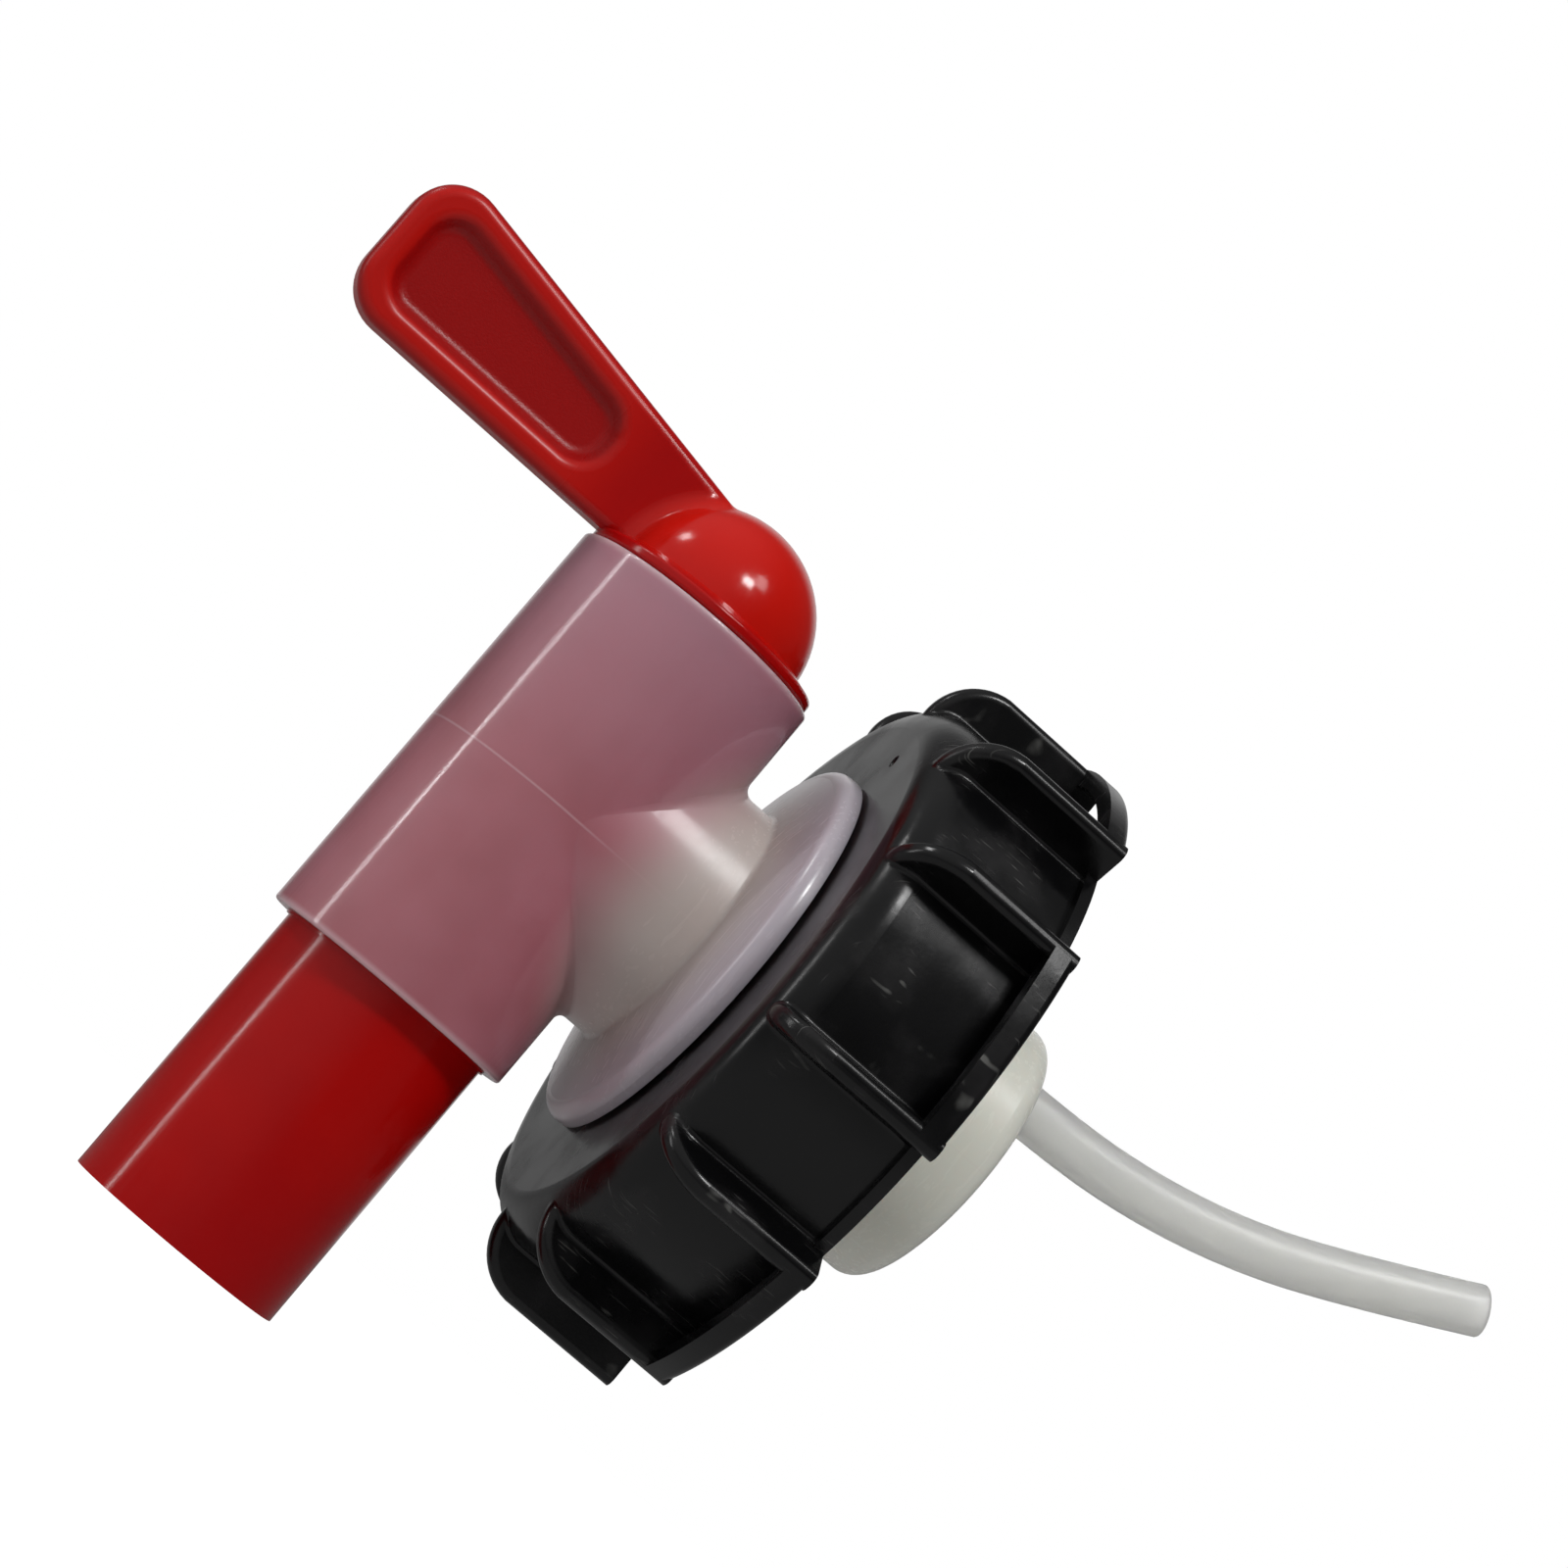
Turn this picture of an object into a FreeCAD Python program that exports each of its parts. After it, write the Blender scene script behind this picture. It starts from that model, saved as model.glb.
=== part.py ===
import FreeCAD, Part
import math
import os

# Dispensing tap for a jerrycan. Millimetres, +Z up along the barrel.
# The neck runs along +X to the container. The origin is on the neck's axis, at the
# gasket face where the container's rim lands.

V = FreeCAD.Vector
X_AXIS = V(1, 0, 0)
Y_AXIS = V(0, 1, 0)
Z_AXIS = V(0, 0, 1)
ORIGIN = V(0, 0, 0)

overlap = 0.5               # joined shapes run into each other by this much
past = 1.0                  # cutting shapes run past a face by this much
match = 0.05                # how closely an edge has to lie where it is looked for

# Barrel and plug
barrel_x = -27.3            # the barrel's axis, from the gasket face
barrel_r = 14.0
barrel_half = 23.2          # half of the barrel's height
bore_r = 12.3
plug_r = 12.25              # running fit in the bore
plug_bore_r = 10.2
spout_r = 11.93
barrel_edge = 0.35          # rounding of the barrel's outer rims
spout_start_z = -23.5
spout_end_z = -54.3
snap_z = -19.5              # bead that keeps the plug in the barrel
snap_height = 0.35
snap_room = 0.1

# Liquid and air ways through the barrel's wall and the plug
liquid_r = 7.0
liquid_z = -4.0
air_r = 1.75
tube_z = 8.8                # height of the vent tube above the neck's axis

# Neck, flange and rear spigot, along X from the origin
neck_r = 13.9
neck_bore_r = 12.0
neck_fillet = 1.2           # where the neck leaves the barrel
flange_fillet = 0.5         # where the neck meets the flange
flange_r = 22.0
flange_front = -7.8
flange_back = -5.4
flange_round = 1.5
flange_rise = 1.7           # the flange's front slopes up to the neck by this much
collar_r = 15.47            # the cap turns on this collar
bead_r = 16.0               # snap bead that keeps the cap on the neck
bead_front = -2.45
bead_top = -2.0
bead_back = -1.0
spigot_r = 15.4
spigot_end = 26.9
spigot_round = 2.2
socket_depth = 8.0
socket_room = 0.03
socket_wall = 1.9

# Stop lug under the plug's flange, in a recess in the barrel's rim
lug_r = 13.0
lug_half_angle = 7.0
lug_root = 0.2              # the lug runs up into the plug's flange
lug_depth = 1.8
stop_angle = 90.0           # the plug's travel each way
stop_spare = 0.6            # degrees left between lug and recess end
recess_gap = 0.2

# Dome and handle
plug_flange_r = 13.5
plug_flange_z = 23.3
plug_flange_top = 24.5
flange_edge = 0.4
dome_r = 11.1
dome_z = 24.3
dome_wall = 1.7
dome_foot_r = 11.3          # a sloping shoulder runs from the dome's foot to the flange's edge
shoulder_top_z = 25.2
hollow_top_z = 21.3         # the plug's hollow tapers in from here
roof_z = 23.8               # centre of the round roof under the dome
blade_half = 2.6            # half of the blade's thickness
blade_low = 24.0
blade_far = -47.5
blade_far_top = 41.5
blade_near_top = 33.4
blade_corner = 5.0
blade_edge = 1.3            # rounding of the blade's long edges
blade_fillet = 2.2          # where the blade meets the dome
panel_border = 2.3
panel_near = -17.6          # the recess's end beside the dome, from the barrel's axis
panel_depth = 1.5
panel_draft = 1.5           # the recess's walls lean in by this much
panel_corner = 3.8
panel_floor_round = 1.4
panel_rim_round = 1.4

# Screw cap
cap_front = -5.0
cap_face_back = -2.6
cap_mouth = 14.6
cap_hole_r = 15.55
skirt_r = 33.5
shoulder_r = 4.0
crest_r = 29.0
thread_pitch = 4.0
thread_depth = 1.5
groove_mouth = 2.4          # groove's width at the crest
groove_floor = 1.2          # groove's width at its floor
groove_start_r = 28.6       # the cutting profile starts inside the crest, a little wider
groove_flare = 0.3
thread_start = 3.0
thread_turns = 3.25         # the groove runs out of the mouth
rim_bead_r = 34.5
rim_bead_width = 1.3
lobe_count = 6
lobe_middle = 12.0          # angle of the first lobe, up from the side facing -Y
lobe_half_angle = 17.0
fin_tip_r = 38.5
fin_half = 1.15
fin_start_x = -4.3
fin_start_r = 30.6
fin_top_x = 1.4
fin_bend_along = 0.36       # where the curved front's middle lies, as parts of its run
fin_bend_out = 0.80
band_x = 11.9
band_wall = 1.9
band_edge = 0.8
fin_edge = 1.0              # rounding of the fins' tips
fin_fillet = 0.5            # where the fins meet the skirt
pit_r = 0.9                 # shallow gate mark on the cap's face
pit_depth = 0.4
pit_place_r = 26.2
pit_angle = 75.0            # up from the side facing -Y

# Gasket and vent tube
gasket_r = 28.6
gasket_hole_r = 16.2
tube_r = 2.75
tube_bore_r = 1.75
tube_route = [(18.9, 8.8), (31.2, 8.8), (43.8, 9.9), (56.6, 13.1), (69.0, 18.5), (80.5, 24.3)]
arc_reach = 0.45            # how far along its shorter run each bend's arc starts


def rod(radius, start, end):
    """Solid cylinder along X between two x values, on the neck's axis."""
    return Part.makeCylinder(radius, end - start, V(start, 0, 0), X_AXIS)


def post(radius, low, high):
    """Solid cylinder along Z between two heights, on the barrel's axis."""
    return Part.makeCylinder(radius, high - low, V(barrel_x, 0, low), Z_AXIS)


def ring_sector(inner_r, outer_r, low, high, middle_angle, half_angle):
    """Part of a ring about the barrel's axis, centred on an angle from +X."""
    ring = Part.makeCylinder(outer_r, high - low, V(barrel_x, 0, low), Z_AXIS, 2 * half_angle)
    ring = ring.cut(post(inner_r, low - past, high + past))
    ring.rotate(V(barrel_x, 0, 0), Z_AXIS, middle_angle - half_angle)
    return ring


def edges_of_circle(shape, radius, x_place):
    """Circular edges about the X axis with this radius, at this x."""
    found = []
    for edge in shape.Edges:
        if not isinstance(edge.Curve, Part.Circle):
            continue
        same_r = abs(edge.Curve.Radius - radius) < match
        same_x = abs(edge.Curve.Center.x - x_place) < match
        if same_r and same_x:
            found.append(edge)
    return found


def snap_ring(outer_r):
    """Ring with sloping sides, about the barrel's axis at the snap's height."""
    rise = outer_r - plug_r
    foot = 3 * rise
    points = [
        V(barrel_x + plug_r - overlap, 0, snap_z - foot),
        V(barrel_x + plug_r, 0, snap_z - foot),
        V(barrel_x + outer_r, 0, snap_z - rise),
        V(barrel_x + outer_r, 0, snap_z + rise),
        V(barrel_x + plug_r, 0, snap_z + foot),
        V(barrel_x + plug_r - overlap, 0, snap_z + foot),
    ]
    face = Part.Face(Part.makePolygon(points + points[:1]))
    return face.revolve(V(barrel_x, 0, 0), Z_AXIS, 360)


def neck_bead():
    """Sloping bead on the neck, just behind the cap's face."""
    root = collar_r - overlap
    points = [
        V(bead_front, 0, root),
        V(bead_front, 0, bead_r),
        V(bead_top, 0, bead_r),
        V(bead_back, 0, collar_r),
        V(bead_back, 0, root),
    ]
    face = Part.Face(Part.makePolygon(points + points[:1]))
    return face.revolve(ORIGIN, X_AXIS, 360)


def barrel_and_neck():
    """Outside of the barrel with the neck's stub, joined by a fillet."""
    barrel = post(barrel_r, -barrel_half, barrel_half)
    rims = [edge for edge in barrel.Edges if isinstance(edge.Curve, Part.Circle)]
    barrel = barrel.makeFillet(barrel_edge, rims)
    joined = barrel.fuse(rod(neck_r, barrel_x, flange_back)).removeSplitter()
    plain = (Part.Circle, Part.Line)
    seam = [edge for edge in joined.Edges if not isinstance(edge.Curve, plain)]
    return joined.makeFillet(neck_fillet, seam)


def valve_body():
    """Barrel, neck, flange and rear spigot in one moulding."""
    flange = rod(flange_r, flange_front, flange_back)
    flange = flange.makeFillet(flange_round, edges_of_circle(flange, flange_r, flange_front))
    slope_start = flange_front - flange_rise
    slope = Part.makeCone(neck_r, flange_r - flange_round, flange_rise, V(slope_start, 0, 0), X_AXIS)
    shell = barrel_and_neck().fuse([flange, slope])
    shell = shell.makeFillet(flange_fillet, edges_of_circle(shell, neck_r, slope_start))
    spigot = rod(spigot_r, bead_back, spigot_end)
    spigot = spigot.makeFillet(spigot_round, edges_of_circle(spigot, spigot_r, spigot_end))
    shell = shell.fuse([rod(collar_r, flange_back, bead_back), neck_bead(), spigot])

    inside = rod(neck_bore_r, barrel_x + barrel_r, spigot_end + past)
    shell = shell.cut(inside)
    boss = Part.makeCylinder(tube_r + socket_wall, spigot_end - barrel_x, V(barrel_x, 0, tube_z), X_AXIS)
    boss = boss.common(rod(neck_bore_r + overlap, barrel_x, spigot_end))
    shell = shell.fuse(boss)

    shell = shell.cut(post(bore_r, -barrel_half - past, barrel_half + past))
    shell = shell.cut(snap_ring(plug_r + snap_height + snap_room))
    way_length = barrel_r + past
    way_low = liquid_z - liquid_r
    boss_low = tube_z - tube_r - socket_wall
    liquid_way = Part.makeCylinder(liquid_r, way_length, V(barrel_x, 0, liquid_z), X_AXIS)
    below_boss = Part.makeBox(way_length, 2 * liquid_r, boss_low - way_low,
                              V(barrel_x, -liquid_r, way_low))
    socket_start = spigot_end - socket_depth
    air_way = Part.makeCylinder(air_r, socket_start - barrel_x + past, V(barrel_x, 0, tube_z), X_AXIS)
    socket = Part.makeCylinder(tube_r + socket_room, socket_depth + past,
                               V(socket_start, 0, tube_z), X_AXIS)
    shell = shell.cut([liquid_way.common(below_boss), air_way, socket])

    recess = ring_sector(bore_r - overlap, lug_r + recess_gap, barrel_half - lug_depth - recess_gap,
                         barrel_half + past, 180, stop_angle + lug_half_angle + stop_spare)
    return shell.cut(recess).removeSplitter()


def handle_outline(inset, side_y):
    """Wire of the blade's outline moved in by inset, in the plane y = side_y."""
    low = blade_low + inset
    panel_inset = inset - panel_border
    far = blade_far + inset
    near = panel_near - panel_inset if inset > 0 else 0.0
    slope = (blade_far_top - blade_near_top) / blade_far
    drop = inset * math.sqrt(1 + slope * slope)

    def top(x_place):
        return blade_near_top + slope * x_place - drop

    corners = [V(near, 0, low), V(far, 0, low), V(far, 0, top(far)), V(near, 0, top(near))]
    radius = panel_corner - panel_inset if inset > 0 else blade_corner
    rounded = [1, 2] if inset == 0 else [0, 1, 2, 3]
    return rounded_outline(corners, rounded, radius, V(barrel_x, side_y, 0))


def rounded_outline(corners, rounded, radius, shift):
    """Closed wire through the corners, with the listed corners rounded."""
    count = len(corners)
    edges = []
    ends = []
    for number, corner in enumerate(corners):
        before = (corners[number - 1] - corner).normalize()
        after = (corners[(number + 1) % count] - corner).normalize()
        if number not in rounded:
            ends.append((corner, corner))
            continue
        half = before.getAngle(after) / 2
        reach = radius / math.tan(half)
        first = corner + before * reach
        last = corner + after * reach
        middle_way = (before + after).normalize()
        middle = corner + middle_way * (radius / math.sin(half) - radius)
        edges.append(Part.Arc(first + shift, middle + shift, last + shift).toShape())
        ends.append((first, last))
    for number in range(count):
        start = ends[number][1]
        finish = ends[(number + 1) % count][0]
        edges.append(Part.LineSegment(start + shift, finish + shift).toShape())
    return Part.Wire(Part.__sortEdges__(edges))


def middle_of(edge):
    """Point at the middle of an edge's parameter range."""
    first, last = edge.ParameterRange
    return edge.valueAt((first + last) / 2)


def flat_in_y(edge, side_y):
    """True if the edge lies in the plane y = side_y."""
    box = edge.BoundBox
    return box.YLength < 1e-4 and abs(box.YMin - side_y) < 1e-3


def panel_pocket(side):
    """Sunk panel's hollow on one side of the blade, with a rounded floor."""
    floor_y = side * (blade_half - panel_depth)
    outer = handle_outline(panel_border, side * blade_half)
    inner = handle_outline(panel_border + panel_draft, floor_y)
    pocket = Part.makeLoft([outer, inner], True)
    floor_edges = [edge for edge in pocket.Edges if flat_in_y(edge, floor_y)]
    return pocket.makeFillet(panel_floor_round, floor_edges)


def is_panel_rim(edge, side):
    """True if the edge is part of the sunk panel's outline on that side of the blade."""
    if not flat_in_y(edge, side * blade_half):
        return False
    place = middle_of(edge)
    from_axis = place.x - barrel_x
    slope = (blade_far_top - blade_near_top) / blade_far
    below_top = blade_near_top + slope * from_axis - place.z
    clear = (blade_edge + panel_border) / 2
    inside = place.z - blade_low > clear and below_top > clear
    return inside and blade_far + clear < from_axis < panel_near + overlap


def handle():
    """Paddle blade in the plane of the barrel's axis, with a sunk panel on each side."""
    face = Part.Face(handle_outline(0.0, -blade_half))
    blade = face.extrude(V(0, 2 * blade_half, 0))
    sides = [edge for edge in blade.Edges if flat_in_y(edge, blade_half) or flat_in_y(edge, -blade_half)]
    outline = [edge for edge in sides if edge.BoundBox.XMin < barrel_x - past]
    blade = blade.makeFillet(blade_edge, outline)
    for side in (-1, 1):
        blade = blade.cut(panel_pocket(side))
    rims = [edge for edge in blade.Edges if is_panel_rim(edge, -1) or is_panel_rim(edge, 1)]
    return blade.makeFillet(panel_rim_round, rims)


def on_dome(edge):
    """True if the whole edge lies on the dome's sphere, above its foot."""
    if edge.Length < overlap or edge.BoundBox.ZMax < dome_z + past:
        return False
    first, last = edge.ParameterRange
    steps = 6
    for step in range(steps + 1):
        place = edge.valueAt(first + (last - first) * step / steps)
        if abs((place - V(barrel_x, 0, dome_z)).Length - dome_r) > match:
            return False
    return True


def dome_and_handle():
    """Hemisphere and blade joined by a fillet."""
    dome = Part.makeSphere(dome_r, V(barrel_x, 0, dome_z), Z_AXIS, 0, 90, 360)
    joined = dome.fuse(handle())
    seam = []
    for edge in joined.Edges:
        if on_dome(edge) and edge.BoundBox.XMax < barrel_x + past:
            seam.append(edge)
    return joined.makeFillet(blade_fillet, seam)


def plug():
    """Spout, turning plug, dome and handle in one moulding."""
    body = post(plug_r, spout_start_z, plug_flange_z)
    body = body.fuse(post(spout_r, spout_end_z, spout_start_z))
    flange = post(plug_flange_r, plug_flange_z, plug_flange_top)
    rims = [edge for edge in flange.Edges if isinstance(edge.Curve, Part.Circle)]
    flange = flange.makeFillet(flange_edge, rims)
    shoulder = Part.makeCone(plug_flange_r - flange_edge, dome_foot_r, shoulder_top_z - plug_flange_top,
                             V(barrel_x, 0, plug_flange_top), Z_AXIS)
    flange = flange.fuse(shoulder)
    lug = ring_sector(plug_r - overlap, lug_r, barrel_half - lug_depth, plug_flange_z + lug_root,
                      180, lug_half_angle)
    body = body.fuse([flange, dome_and_handle(), lug, snap_ring(plug_r + snap_height)])

    hollow = post(plug_bore_r, spout_end_z - past, hollow_top_z)
    roof_r = dome_r - dome_wall
    taper = Part.makeCone(plug_bore_r, roof_r, roof_z - hollow_top_z,
                          V(barrel_x, 0, hollow_top_z), Z_AXIS)
    roof = Part.makeSphere(roof_r, V(barrel_x, 0, roof_z), Z_AXIS, 0, 90, 360)
    liquid_port = Part.makeCylinder(liquid_r, barrel_r, V(barrel_x, 0, liquid_z), X_AXIS)
    air_port = Part.makeCylinder(air_r, barrel_r, V(barrel_x, 0, tube_z), X_AXIS)
    return body.cut([hollow, taper, roof, liquid_port, air_port]).removeSplitter()


def cap_fin(angle):
    """One radial fin with a curved front, at an angle up from the side facing -Y."""
    start = V(fin_start_x, 0, fin_start_r)
    bend = V(fin_start_x + fin_bend_along * (fin_top_x - fin_start_x), 0,
             fin_start_r + fin_bend_out * (fin_tip_r - fin_start_r))
    top = V(fin_top_x, 0, fin_tip_r)
    back = V(cap_mouth, 0, fin_tip_r)
    foot = V(cap_mouth, 0, fin_start_r)
    edges = [
        Part.Arc(start, bend, top).toShape(),
        Part.LineSegment(top, back).toShape(),
        Part.LineSegment(back, foot).toShape(),
        Part.LineSegment(foot, start).toShape(),
    ]
    plate = Part.Face(Part.Wire(edges))
    plate.translate(V(0, -fin_half, 0))
    fin = plate.extrude(V(0, 2 * fin_half, 0))
    tips = []
    for edge in fin.Edges:
        at_side = flat_in_y(edge, fin_half) or flat_in_y(edge, -fin_half)
        off_foot = middle_of(edge).z > fin_start_r + overlap
        if at_side and off_foot and edge.BoundBox.XMin < cap_mouth - overlap:
            tips.append(edge)
    fin = fin.makeFillet(fin_edge, tips)
    fin.rotate(ORIGIN, X_AXIS, 90 - angle)
    return fin


def fin_feet(shape):
    """Edges where the fins meet the skirt and its shoulder."""
    found = []
    for edge in shape.Edges:
        place = middle_of(edge)
        away = math.hypot(place.y, place.z)
        if place.x > cap_mouth - overlap or away > skirt_r + match or away < fin_start_r:
            continue
        angle = math.degrees(math.atan2(place.z, -place.y))
        for lobe in range(lobe_count):
            for side in (-1, 1):
                fin_angle = lobe_middle + lobe * 360.0 / lobe_count + side * lobe_half_angle
                off = (angle - fin_angle + 180) % 360 - 180
                beside = abs(abs(away * math.sin(math.radians(off))) - fin_half) < match
                if abs(off) < lobe_half_angle / 2 and beside:
                    found.append(edge)
    return found


def cap_band(middle):
    """Hoop that joins a pair of fins at the mouth, at the tips' radius."""
    half = lobe_half_angle
    band = Part.makeCylinder(fin_tip_r, cap_mouth - band_x, V(0, 0, band_x), Z_AXIS, 2 * half)
    band.rotate(ORIGIN, Y_AXIS, 90)
    band.rotate(ORIGIN, X_AXIS, -90 - middle - half)
    band = band.cut(rod(fin_tip_r - band_wall, band_x - past, cap_mouth + past))
    return band.makeFillet(band_edge, edges_of_circle(band, fin_tip_r, cap_mouth))


def thread_groove():
    """Helical groove about the X axis, cut outward from the crest."""
    height = thread_pitch * thread_turns
    path = Part.makeHelix(thread_pitch, height, crest_r)
    profile_points = [
        V(groove_start_r, 0, -(groove_mouth + groove_flare) / 2),
        V(groove_start_r, 0, (groove_mouth + groove_flare) / 2),
        V(crest_r + thread_depth, 0, groove_floor / 2),
        V(crest_r + thread_depth, 0, -groove_floor / 2),
    ]
    profile = Part.makePolygon(profile_points + profile_points[:1])
    groove = Part.Wire(path.Edges).makePipeShell([profile], True, True)
    groove.rotate(ORIGIN, Y_AXIS, 90)
    groove.translate(V(thread_start, 0, 0))
    return groove


def screw_cap():
    """Lobed cap: face, threaded skirt, fins in pairs and a band across each pair."""
    shell = rod(skirt_r, cap_front, cap_mouth)
    shell = shell.makeFillet(shoulder_r, edges_of_circle(shell, skirt_r, cap_front))
    fins = []
    bands = []
    for lobe in range(lobe_count):
        middle = lobe_middle + lobe * 360.0 / lobe_count
        fins.append(cap_fin(middle - lobe_half_angle))
        fins.append(cap_fin(middle + lobe_half_angle))
        bands.append(cap_band(middle))
    shell = shell.fuse(fins)
    shell = shell.makeFillet(fin_fillet, fin_feet(shell))
    bead = rod(rim_bead_r, cap_mouth - rim_bead_width, cap_mouth)
    shell = shell.fuse(bands + [bead])
    pit_turn = math.radians(pit_angle)
    pit_centre = V(cap_front - pit_r + pit_depth, -pit_place_r * math.cos(pit_turn),
                   pit_place_r * math.sin(pit_turn))
    shell = shell.cut([
        Part.makeSphere(pit_r, pit_centre),
        rod(cap_hole_r, cap_front - past, cap_mouth + past),
        rod(crest_r, cap_face_back, cap_mouth + past),
    ])
    shell = shell.cut(thread_groove())
    return shell.removeSplitter()


def gasket():
    """Flat ring between the cap's face and the container's rim."""
    return rod(gasket_r, cap_face_back, 0).cut(rod(gasket_hole_r, cap_face_back - past, past))


def tangent_path(points):
    """Wire of straight runs joined by tangent arcs, and the arcs' radii."""
    edges = []
    radii = []
    here = points[0]
    for number in range(1, len(points) - 1):
        corner = points[number]
        before = points[number - 1] - corner
        after = points[number + 1] - corner
        reach = arc_reach * min(before.Length, after.Length)
        before.normalize()
        after.normalize()
        turn = math.pi - before.getAngle(after)
        radius = reach / math.tan(turn / 2)
        first = corner + before * reach
        last = corner + after * reach
        inward = (before + after).normalize()
        middle = corner + inward * (radius / math.cos(turn / 2) - radius)
        edges.append(Part.LineSegment(here, first).toShape())
        edges.append(Part.Arc(first, middle, last).toShape())
        radii.append(radius)
        here = last
    edges.append(Part.LineSegment(here, points[-1]).toShape())
    return Part.Wire(edges), radii


def vent_tube():
    """Soft tube from its socket along the route."""
    points = [V(x_place, 0, height) for x_place, height in tube_route]
    path, radii = tangent_path(points)
    outer = sweep_circle(path, tube_r)
    inner = sweep_circle(path, tube_bore_r)
    tube = outer.cut(inner)
    section = math.pi * (tube_r ** 2 - tube_bore_r ** 2)
    print("vent tube radii", [round(radius, 1) for radius in radii])
    print("vent tube length", round(path.Length, 2), "volume ratio",
          round(tube.Volume / (section * path.Length), 4))
    return tube


def sweep_circle(path, radius):
    """Solid of a circle swept along a path that starts along +X."""
    start = path.Edges[0].Vertexes[0].Point
    circle = Part.Wire(Part.makeCircle(radius, start, X_AXIS))
    return path.makePipeShell([circle], True, False)


os.makedirs("parts", exist_ok=True)
pieces = {
    "valve_body": valve_body(),
    "plug": plug(),
    "screw_cap": screw_cap(),
    "gasket": gasket(),
    "vent_tube": vent_tube(),
}
for name, shape in pieces.items():
    solid = shape.Solids[0]
    box = solid.BoundBox
    print(name, "solids", len(shape.Solids), "valid", shape.isValid(), "volume", round(solid.Volume),
          "x", round(box.XMin, 1), round(box.XMax, 1), "z", round(box.ZMin, 1), round(box.ZMax, 1))
    solid.exportStep("parts/" + name + ".step")
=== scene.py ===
import bpy
import math
from mathutils import Matrix, Vector


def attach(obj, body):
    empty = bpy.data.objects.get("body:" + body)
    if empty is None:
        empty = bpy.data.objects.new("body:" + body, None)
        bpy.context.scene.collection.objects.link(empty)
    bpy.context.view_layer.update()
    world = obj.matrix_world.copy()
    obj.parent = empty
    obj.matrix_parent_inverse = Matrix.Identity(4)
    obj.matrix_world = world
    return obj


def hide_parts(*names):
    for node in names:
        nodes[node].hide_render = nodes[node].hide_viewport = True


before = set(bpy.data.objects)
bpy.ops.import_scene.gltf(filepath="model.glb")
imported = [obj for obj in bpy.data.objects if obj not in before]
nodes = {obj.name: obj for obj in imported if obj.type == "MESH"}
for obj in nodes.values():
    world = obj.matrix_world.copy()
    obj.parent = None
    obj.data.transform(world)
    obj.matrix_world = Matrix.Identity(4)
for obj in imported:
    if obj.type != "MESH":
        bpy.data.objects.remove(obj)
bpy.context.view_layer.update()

mm = 0.001
scene = bpy.context.scene
scene.view_settings.view_transform = "Standard"      # plain product-shot colours
bpy.ops.object.select_all(action="DESELECT")


# camera: left of the tap and a little below it, rolled
cameraSetup = {
    "azimuth": -11.407, "elevation": -7.232, "roll": 40.078,     # degrees
    "aim": (-11.589, -5.331, 16.693),                            # mm
    "distance": 425.34,                                          # mm
    "lens": 100.887,
    "nearest": 10, "furthest": 50000,                            # mm, what it draws
}


def backVector(azimuth, elevation):    # from what is looked at, back to the eye
    turn = math.radians(azimuth)       # 0 looks along +Y
    tilt = math.radians(elevation)
    return Vector((math.sin(turn) * math.cos(tilt), -math.cos(turn) * math.cos(tilt), math.sin(tilt)))


def addCamera(setup):
    data = bpy.data.cameras.new("studioCamera")
    data.lens = setup["lens"]
    data.clip_start = setup["nearest"] * mm
    data.clip_end = setup["furthest"] * mm
    camera = bpy.data.objects.new("studioCamera", data)
    scene.collection.objects.link(camera)
    back = backVector(setup["azimuth"], setup["elevation"])
    camera.location = (Vector(setup["aim"]) + back * setup["distance"]) * mm
    upright = (-back).to_track_quat("-Z", "Y").to_matrix().to_4x4()
    rolled = upright @ Matrix.Rotation(math.radians(setup["roll"]), 4, "Z")
    camera.rotation_euler = rolled.to_euler()
    scene.camera = camera


addCamera(cameraSetup)
print("camera placed")


# vent tube: a soft tube pushed into the top of the rear spigot
ventTube = {
    "route": [(18.9, 8.8), (31.2, 8.8), (43.8, 9.9),
              (56.6, 13.1), (69.0, 18.5), (80.5, 24.3)],         # x and z, mm
    "exitX": 26.9,                     # mm, the spigot's end face
    "length": 64.5,                    # mm, the whole tube, with the end inside its socket
    "outerRadius": 2.75, "wall": 1.0,                            # mm
    "sides": 40,
    "routeSteps": 24,                  # steps of the bend between two points of the route
    "rimRadius": 0.2, "rimSteps": 2,                             # mm, the cut end's edges
    "rimAngle": 60, "smoothAngle": 40,                           # degrees
}


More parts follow.
